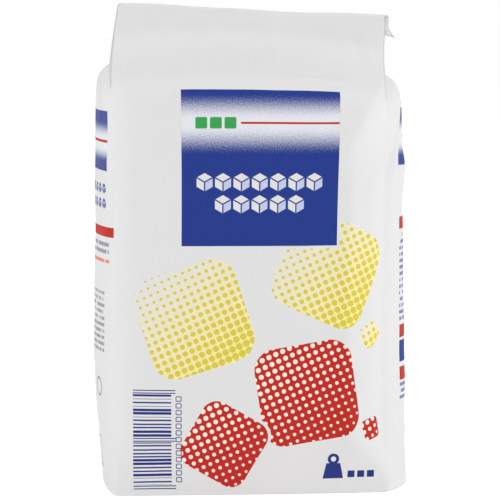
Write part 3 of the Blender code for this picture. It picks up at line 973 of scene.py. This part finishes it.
def seam_mesh(name, points, paper):
    """The paper's overlap down the back: a closed strip, thick at its free edge, sunk at the crease.

    Each row of the strip is a loop: its upper face from the crease outward, then its lower face back.
    """
    normal = grid_normals(points)
    rows = range(SEAM_START, points.shape[0] - FOLD_ROWS - FLAP_ROWS - 1)
    columns = range(1, SEAM_CELLS + 1)
    piece = PieceMesh()
    loops = []
    for row in rows:
        at, out = points[row, STARTS[BACK]:], normal[row, STARTS[BACK]:]
        upper = [at[c] + out[c] * (SEAM_THICK * (c / SEAM_CELLS) - SEAM_SUNK) for c in columns]
        lower = [at[c] - out[c] * (SEAM_ROOT[0] + SEAM_ROOT[1] * c / SEAM_CELLS) for c in columns]
        loops.append(piece.points(upper + lower[::-1]))
    across = [c * FRONT_CELL for c in (*columns, *reversed(columns))]
    up = [paper[row, STARTS[BACK]] for row in rows]

    def add(spots, bakes):
        """A face between spots of the loops, given as place in the loop and number of the loop."""
        low_x, low_y, scale = SEAM_ATLAS
        piece.add([loops[r][k] for k, r in spots], [(across[k], up[r]) for k, r in spots],
                  [(low_x + scale * x, low_y + scale * y) for x, y in bakes])

    count = len(across)
    for r in range(len(rows) - 1):
        for k in range(count):
            following = (k + 1) % count
            x0, x1 = k * FRONT_CELL, (k + 1) * FRONT_CELL
            add(((k, r), (following, r), (following, r + 1), (k, r + 1)),
                ((x0, up[r]), (x1, up[r]), (x1, up[r + 1]), (x0, up[r + 1])))
    for r, place in ((0, count + 2), (len(rows) - 1, count + 4)):
        x0, x1 = place * FRONT_CELL, (place + 1) * FRONT_CELL
        for k in range(SEAM_CELLS - 1):
            add(((k, r), (count - 1 - k, r), (count - 2 - k, r), (k + 1, r)),
                ((x0, across[k]), (x1, across[k]), (x1, across[k + 1]), (x0, across[k + 1])))
    return piece.finish(name)


def bottom_folds(name, points):
    """The bottom's folded paper: two thin trapezoids from the short sides, and the long flap over them."""
    middle = points[0].mean(axis=0)
    x0, x1 = middle[0] - HALF_WIDTH + FOLDS_INSET, middle[0] + HALF_WIDTH - FOLDS_INSET
    y0, y1 = middle[1] - HALF_DEPTH + FOLDS_INSET, middle[1] + HALF_DEPTH - FOLDS_INSET
    reach = 0.42 * (y1 - y0)
    slant = 0.9 * reach
    front = y0 + 14 * MM
    plates = (         # four corners, and the level of the lower face in mm
        ((x0, y0), (x0, y1), (x0 + reach, y1 - slant), (x0 + reach, y0 + slant), 0.45),
        ((x1, y1), (x1, y0), (x1 - reach, y0 + slant), (x1 - reach, y1 - slant), 0.45),
        ((x0 + 9 * MM, y1), (x1 - 9 * MM, y1), (x1 - 16 * MM, front), (x0 + 16 * MM, front), 0.15),
    )
    piece = PieceMesh()
    for number, (*corners, level) in enumerate(plates):
        under = piece.points([(x, y, level * MM) for x, y in corners])
        over = piece.points([(x, y, FOLDS_TOP) for x, y in corners])
        sides = [(under[i], under[(i + 1) % 4], over[(i + 1) % 4], over[i]) for i in range(4)]
        for place, face in enumerate([under, over[::-1]] + sides):
            low_x = 0.02 + 0.32 * number + 0.10 * (place % 3)
            low_y = 0.02 + 0.10 * (place // 3)
            bakes = [(low_x + 0.08 * x, low_y + 0.08 * y) for x, y in ((0, 0), (1, 0), (1, 1), (0, 1))]
            piece.add(face, [(0.0, 0.0)] * 4, bakes)
    return piece.finish(name)


# ---------------------------------------------------------------- print and paper

class Formula:
    """A number worked out by shader nodes: arithmetic on it adds Math nodes to its tree."""

    def __init__(self, tree, socket):
        self.tree = tree
        self.socket = socket

    def by(self, operation, *others, clamp=False):
        """This number and others put through a Math node, kept within 0 and 1 if clamp is set."""
        node = self.tree.nodes.new("ShaderNodeMath")
        node.operation = operation
        node.use_clamp = clamp
        for place, value in enumerate((self, *others)):
            if isinstance(value, Formula):
                self.tree.links.new(value.socket, node.inputs[place])
            else:
                node.inputs[place].default_value = value
        return Formula(self.tree, node.outputs[0])

    def __add__(self, other):
        return self.by("ADD", other)

    def __sub__(self, other):
        return self.by("SUBTRACT", other)

    def __mul__(self, other):
        return self.by("MULTIPLY", other)

    def least(self, other):
        return self.by("MINIMUM", other)

    def most(self, other):
        return self.by("MAXIMUM", other)

    def size(self):
        return self.by("ABSOLUTE")

    def whole(self):
        return self.by("FLOOR")

    def hash(self):
        """A random number from 0 to 1 for every whole number."""
        node = self.tree.nodes.new("ShaderNodeTexWhiteNoise")
        node.noise_dimensions = "1D"
        self.tree.links.new(self.socket, node.inputs["W"])
        return Formula(self.tree, node.outputs["Value"])


def hypot(x, y):
    """Distance from the origin."""
    return (x * x + y * y).by("POWER", 0.5)


def turned(x, y, degrees):
    """The same place read in axes turned anticlockwise."""
    c, s = math.cos(math.radians(degrees)), math.sin(math.radians(degrees))
    return x * c + y * s, y * c - x * s


def box_distance(x, y, half_width, half_height, corner=0.0):
    """Distance outside a rounded box about the origin, negative inside it."""
    over_x = x.size() - (half_width - corner)
    over_y = y.size() - (half_height - corner)
    outside = hypot(over_x.most(0.0), over_y.most(0.0))
    return outside + over_x.most(over_y).least(0.0) - corner


def cover(distance):
    """1 where the distance is negative and 0 where it is positive, with a soft edge."""
    return (distance * (-1.0 / INK_EDGE)).by("ADD", 0.5, clamp=True)


def linear(colour):
    """Linear colour of an sRGB colour given as 0 to 255."""
    parts = [value / 255.0 for value in colour]
    return [v / 12.92 if v <= 0.04045 else ((v + 0.055) / 1.055) ** 2.4 for v in parts]


class Print:
    """Colours laid one over another on white paper."""

    def __init__(self, tree, shift):
        self.tree = tree
        uv = tree.nodes.new("ShaderNodeUVMap")
        uv.uv_map = "print"
        parts = tree.nodes.new("ShaderNodeSeparateXYZ")
        tree.links.new(uv.outputs["UV"], parts.inputs[0])
        self.place = uv.outputs["UV"]
        self.x = Formula(tree, parts.outputs["X"]) * 1000.0 - shift[0]
        self.y = Formula(tree, parts.outputs["Y"]) * 1000.0 - shift[1]
        self.colour = None

    def paint(self, share, colour):
        """Lay a colour where share is 1; None is the bare paper's colour."""
        mix = self.tree.nodes.new("ShaderNodeMix")
        mix.data_type = "RGBA"
        self.tree.links.new(share.socket, mix.inputs[0])
        if self.colour is None:
            mix.inputs[6].default_value = (*PAPER_WHITE, 1.0)
        else:
            self.tree.links.new(self.colour, mix.inputs[6])
        mix.inputs[7].default_value = (*(PAPER_WHITE if colour is None else linear(colour)), 1.0)
        self.colour = mix.outputs[2]

    def area(self, x, y, half_width, half_height, corner=0.0):
        """1 inside a rounded box about a place on the panel."""
        return cover(box_distance(self.x - x, self.y - y, half_width, half_height, corner))

    def box(self, colour, x, y, half_width, half_height, corner=0.0):
        """Paint a rounded box about a place on the panel."""
        self.paint(self.area(x, y, half_width, half_height, corner), colour)


def dots(x, y):
    """The halftone: each place's distance from its dot's middle, and where that middle is."""
    across, up = turned(x, y, DOT_TURN)
    column = ((across * (1.0 / DOT_PITCH)).whole() + 0.5) * DOT_PITCH
    row = ((up * (1.0 / DOT_PITCH)).whole() + 0.5) * DOT_PITCH
    middle_x, middle_y = turned(column, row, -DOT_TURN)
    return hypot(across - column, up - row), middle_x, middle_y


def square_distance(ink, x, y, side, turn):
    """Distance outside a turned rounded square about a place on the panel."""
    across, up = turned(ink.x - x, ink.y - y, turn)
    return box_distance(across, up, side / 2, side / 2, side * SQUARE_CORNER)


def down_diagonal(x, y, side, middle):
    """From 0 at a square's upper left to 1 at its lower right, for a place from its middle."""
    return ((x - y) * (DOT_GROWTH / side)).by("ADD", middle, clamp=True)


def dotted_squares(ink, keep):
    """Rounded squares of dots: yellow dots on white, and white dots on red.

    The dots grow toward a yellow square's lower right and shrink toward a red one's. keep is 1
    where squares may be printed.
    """
    from_middle, dot_x, dot_y = dots(ink.x, ink.y)
    for x, y, side, turn in YELLOW_SQUARES:
        area = cover(square_distance(ink, x, y, side, turn)) * keep
        growth = down_diagonal(dot_x - x, dot_y - y, side, 0.5)
        ink.paint(area * down_diagonal(ink.x - x, ink.y - y, side, 0.55), INK_CREAM)
        ink.paint(area * cover(from_middle - growth * 0.95 - 0.42), INK_YELLOW)
    for x, y, side, turn in RED_SQUARES:
        distance = square_distance(ink, x, y, side, turn)
        area = cover(distance) * keep
        growth = down_diagonal(dot_x - x, dot_y - y, side, 0.5)
        ink.paint(cover(distance - SQUARE_GAP) * keep, None)
        ink.paint(area, INK_RED)
        ink.paint(area * cover(from_middle + growth * 0.52 - 1.02), INK_BLUSH)


def cubes(ink, x, y, count, size, pitch, face, shade, edge):
    """A centred row of sugar cubes, each drawn as a hexagon with three faces."""
    half = 0.5 * count * pitch
    along = ink.x - x + half
    number = (along * (1.0 / pitch)).whole()
    across = along - (number + 0.5) * pitch
    sideways = across.size()
    up = ink.y - y
    slanted = sideways * 0.5 + up.size() * HALF_ROOT3 - size * HALF_ROOT3
    hexagon = cover(slanted.most(sideways - size * HALF_ROOT3)) * cover((ink.x - x).size() - half)
    ink.paint(hexagon, face)
    right_face = across.by("GREATER_THAN", 0.0) * (across * THIRD_ROOT3 - up).by("GREATER_THAN", 0.0)
    ink.paint(hexagon * right_face, shade)
    spokes = ((up - sideways * THIRD_ROOT3).size() * HALF_ROOT3).least(sideways.most(up))
    ink.paint(hexagon * cover(spokes - size * 0.075), edge)


def lines(ink, x0, x1, y0, y1, pitch, letter, filled, colour, seed):
    """Greeked text: rows of little blocks with random gaps.

    pitch is from row to row, letter a block's width, and filled the share of places with a block.
    """
    up = (ink.y - y0) * (1.0 / pitch)
    row = up.whole()
    cell = ((ink.x - x0) * (1.0 / letter)).whole() + row * 37.0 + seed
    block = cell.hash().by("LESS_THAN", filled)
    high = cover(((up - row - 0.5).size() - 0.27) * pitch)
    ink.paint(block * high * ink.area((x0 + x1) / 2, (y0 + y1) / 2, (x1 - x0) / 2, (y1 - y0) / 2), colour)


def grain(ink, fineness, depth):
    """Random speckle about zero, as a screened print has where it fades."""
    noise = ink.tree.nodes.new("ShaderNodeTexNoise")
    noise.inputs["Scale"].default_value = fineness
    noise.inputs["Detail"].default_value = 1.0
    ink.tree.links.new(ink.place, noise.inputs["Vector"])
    return (Formula(ink.tree, noise.outputs[0]) - 0.5) * depth


def label(ink, x, y, half_width, half_height, blue, band):
    """The blue label: plain, with a soft pale band across its upper part.

    band is where the band starts to pale, is pale, stops being pale and is blue again, upward.
    """
    area = ink.area(x, y, half_width, half_height)
    ink.paint(area, blue)
    low, pale_low, pale_high, high = band
    paling = (ink.y - low) * (1.0 / (pale_low - low))
    darkening = (ink.y - high) * (1.0 / (pale_high - high))
    pale = (paling.least(darkening) + grain(ink, *LABEL_GRAIN)).least(1.0).most(0.0)
    ink.paint(area * pale * pale * (pale * -2.0 + 3.0), INK_PALE)


def bars(ink, x0, x1, y0, y1, module):
    """A barcode lying on its side: bars of one to three modules, with longer pairs that mark it off."""
    pitch = 3.5 * module
    place = (ink.y - y0) * (1.0 / pitch)
    number = place.whole()
    width = ((number * 5.0 + 2.0).hash() * 2.4 + 0.6).whole() * module + 0.5 * module
    shift = ((number * 7.0 + 1.0).hash() - 0.5) * (0.8 * module)
    dark = cover(((place - number - 0.5) * pitch - shift).size() - width * 0.5)
    middle, half = (x0 + x1) / 2, (x1 - x0) / 2
    ink.paint(ink.area(middle, (y0 + y1) / 2, half, (y1 - y0) / 2) * dark, INK_BAR)
    for guard in (y0, (y0 + y1) / 2, y1):
        ink.box(None, middle + 0.8, guard, half + 0.8, 2.5 * module)
        for step in (-1.3, 1.3):
            ink.box(INK_BAR, middle + 0.8, guard + step * module, half + 0.8, 0.5 * module)


def blanks(ink, x, y0, y1, pitch, half, stroke):
    """A column of small empty boxes where the barcode has its number."""
    place = (ink.y - y0) * (1.0 / pitch)
    up = (place - place.whole() - 0.5) * pitch
    outline = box_distance(ink.x - x, up, half * 1.15, half, 0.3).size() - stroke / 2
    ink.paint(cover(outline) * cover((ink.y - (y0 + y1) / 2).size() - (y1 - y0) / 2), INK_BAR)


def weight_sign(ink, x, y, size):
    """A kitchen weight: a flared block with a ring on it."""
    up = ink.y - y
    across = ink.x - x
    block = (up.size() - 0.5 * size).most(across.size() + up * 0.22 - 0.56 * size)
    ink.paint(cover(block), INK_BAR)
    ring = (hypot(across, up - 0.78 * size) - 0.27 * size).size() - 0.10 * size
    ink.paint(cover(ring), INK_BAR)


def squares(ink, colour, x, y, pitch, half, corner):
    """Three small squares in a row."""
    for step in range(3):
        ink.box(colour, x + pitch * step, y, half, half, corner)


def wide_print(ink):
    """What the front and the back share: label, dotted squares and the two rows of cubes."""
    x, y, half_width, half_height = LABEL
    margin = ink.area(x, y, half_width + LABEL_MARGIN, half_height + LABEL_MARGIN)
    dotted_squares(ink, margin * -1.0 + 1.0)
    label(ink, x, y, half_width, half_height, INK_BLUE, LABEL_BAND)
    squares(ink, INK_GREEN, *LABEL_SQUARES)
    ink.box(INK_RED, *LABEL_RULE)
    for row in CUBE_ROWS:
        cubes(ink, *row, CUBE_SIZE, CUBE_PITCH, None, INK_SHADE, INK_BLUE)


def front_print(ink):
    """The shared print, the barcode with its empty boxes, the weight and three small squares."""
    wide_print(ink)
    bars(ink, **BARCODE)
    blanks(ink, **BLANKS)
    weight_sign(ink, *FRONT_WEIGHT)
    squares(ink, INK_BAR, *WEIGHT_SQUARES)


def back_print(ink):
    """The shared print, greeked lines and the weight."""
    wide_print(ink)
    lines(ink, *BACK_TEXT)
    weight_sign(ink, *BACK_WEIGHT)


def side_print(ink, place, boxes, text):
    """What both sides share: small label, coloured boxes and greeked lines."""
    label(ink, *place, INK_SIDE_BLUE, SIDE_BAND)
    for box in boxes:
        ink.box(*box)
    for block in text:
        lines(ink, *block)


def left_print(ink):
    """The sides' print, two rows of cubes and a ring."""
    side_print(ink, LEFT_LABEL, LEFT_BOXES, LEFT_TEXT)
    for row in LEFT_CUBE_ROWS:
        cubes(ink, *row, SIDE_CUBE_SIZE, SIDE_CUBE_PITCH, INK_SIDE_BLUE, INK_SIDE_BLUE, INK_SIDE_PALE)
    x, y, radius, half_line = LEFT_RING
    ink.paint(cover((hypot(ink.x - x, ink.y - y) - radius).size() - half_line), INK_GREY)


def right_print(ink):
    """The sides' print, as a table of red, blue and greeked rows."""
    side_print(ink, RIGHT_LABEL, RIGHT_BOXES, RIGHT_TEXT)


def bare(ink):
    """No print."""


PANEL_PRINTS = (("front_print", front_print), ("right_print", right_print), ("back_print", back_print),
                ("left_print", left_print), ("bottom_paper", bare), ("cut_edge", bare))


def plain(name, colour, rough):
    """A material of one colour."""
    material = bpy.data.materials.new(name)
    material.use_nodes = True
    shader = material.node_tree.nodes["Principled BSDF"]
    shader.inputs["Base Color"].default_value = (*colour, 1.0)
    shader.inputs["Roughness"].default_value = rough
    return material


def printed_paper(name, draw):
    """White kraft paper with its print and a fine fibre."""
    material = plain(name, PAPER_WHITE, PAPER_ROUGH)
    tree = material.node_tree
    shader = tree.nodes["Principled BSDF"]
    shader.inputs["Specular IOR Level"].default_value = PAPER_GLOSS
    ink = Print(tree, PRINT_SHIFT.get(name, (0.0, 0.0)))
    draw(ink)
    if ink.colour is not None:
        tree.links.new(ink.colour, shader.inputs["Base Color"])
    where = tree.nodes.new("ShaderNodeTexCoord")
    fibre = tree.nodes.new("ShaderNodeTexNoise")
    fibre.inputs["Scale"].default_value = FIBRE_FINENESS
    fibre.inputs["Detail"].default_value = 3.0
    bump = tree.nodes.new("ShaderNodeBump")
    bump.inputs["Strength"].default_value = 0.25
    bump.inputs["Distance"].default_value = FIBRE_HEIGHT
    tree.links.new(where.outputs["Object"], fibre.inputs["Vector"])
    tree.links.new(fibre.outputs[0], bump.inputs["Height"])
    tree.links.new(bump.outputs["Normal"], shader.inputs["Normal"])
    return material


# ---------------------------------------------------------------- camera, floor and light

def build_camera():
    """A long lens, a little above the packet's middle and a little to its left."""
    data = bpy.data.cameras.new("camera")
    data.lens = CAMERA_LENS
    data.sensor_width = 36
    data.clip_end = 300
    camera = in_scene("camera", data)
    target = Vector(CAMERA_TARGET)
    away = Vector((math.sin(CAMERA_AROUND) * math.cos(CAMERA_ABOVE),
                   -math.cos(CAMERA_AROUND) * math.cos(CAMERA_ABOVE), math.sin(CAMERA_ABOVE)))
    camera.location = target + CAMERA_DISTANCE * away
    level = (target - camera.location).to_track_quat("-Z", "Y")
    camera.rotation_euler = (level @ Quaternion((0, 0, 1), CAMERA_ROLL)).to_euler()
    bpy.context.scene.camera = camera


def soft_box(name, place, size, power):
    """A soft box that looks at the middle of the packet."""
    data = bpy.data.lights.new(name, "AREA")
    data.shape = "RECTANGLE"
    data.size, data.size_y = size
    data.energy = power
    light = in_scene(name, data)
    light.location = place
    light.rotation_euler = (Vector(CAMERA_TARGET) - Vector(place)).to_track_quat("-Z", "Y").to_euler()


def build_floor():
    """A wide pale floor, which glows a little so that it stays white."""
    mesh = bpy.data.meshes.new("floor")
    corners = [(x * FLOOR_HALF, y * FLOOR_HALF, 0) for x, y in ((-1, -1), (1, -1), (1, 1), (-1, 1))]
    mesh.from_pydata(corners, [], [(0, 1, 2, 3)])
    floor = in_scene("floor", mesh)
    white = plain("floor_white", (0.90, 0.90, 0.90), 0.9)
    shader = white.node_tree.nodes["Principled BSDF"]
    shader.inputs["Emission Color"].default_value = (1, 1, 1, 1)
    shader.inputs["Emission Strength"].default_value = FLOOR_GLOW
    mesh.materials.append(white)


def build_stage():
    """Pale floor, even daylight from the world and from straight above, and the soft boxes."""
    build_floor()
    world = bpy.data.worlds.new("studio")
    bpy.context.scene.world = world
    world.use_nodes = True
    world.node_tree.nodes["Background"].inputs["Color"].default_value = (1, 1, 1, 1)
    world.node_tree.nodes["Background"].inputs["Strength"].default_value = WORLD_STRENGTH
    for name, place, size, power in SOFT_BOXES:
        soft_box(name, place, size, power)
    data = bpy.data.lights.new("top", "SUN")
    data.energy = TOP_STRENGTH
    data.angle = math.radians(60)
    in_scene("top", data).rotation_euler = (math.radians(8), 0, 0)
    bpy.context.scene.view_settings.view_transform = "Standard"


build_camera()
build_stage()
form, heights, paper = packet_form()
points = wrinkled_paper(form, heights, paper)
low, high = points.reshape(-1, 3).min(axis=0), points.reshape(-1, 3).max(axis=0)
points = finished_paper(points, heights, paper)
points -= [(low[0] + high[0]) / 2, (low[1] + high[1]) / 2, 0.0]
bag = paper_mesh("paper_bag", points, paper)
seam = seam_mesh("back_seam", points, paper)
folds = bottom_folds("bottom_folds", points)
for name, draw in PANEL_PRINTS:
    bag.data.materials.append(printed_paper(name, draw))
seam.data.materials.append(bag.data.materials[BACK])
folds.data.materials.append(bag.data.materials[BOTTOM])
for piece in (bag, seam, folds):
    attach(piece, "root")
    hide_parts("packet")
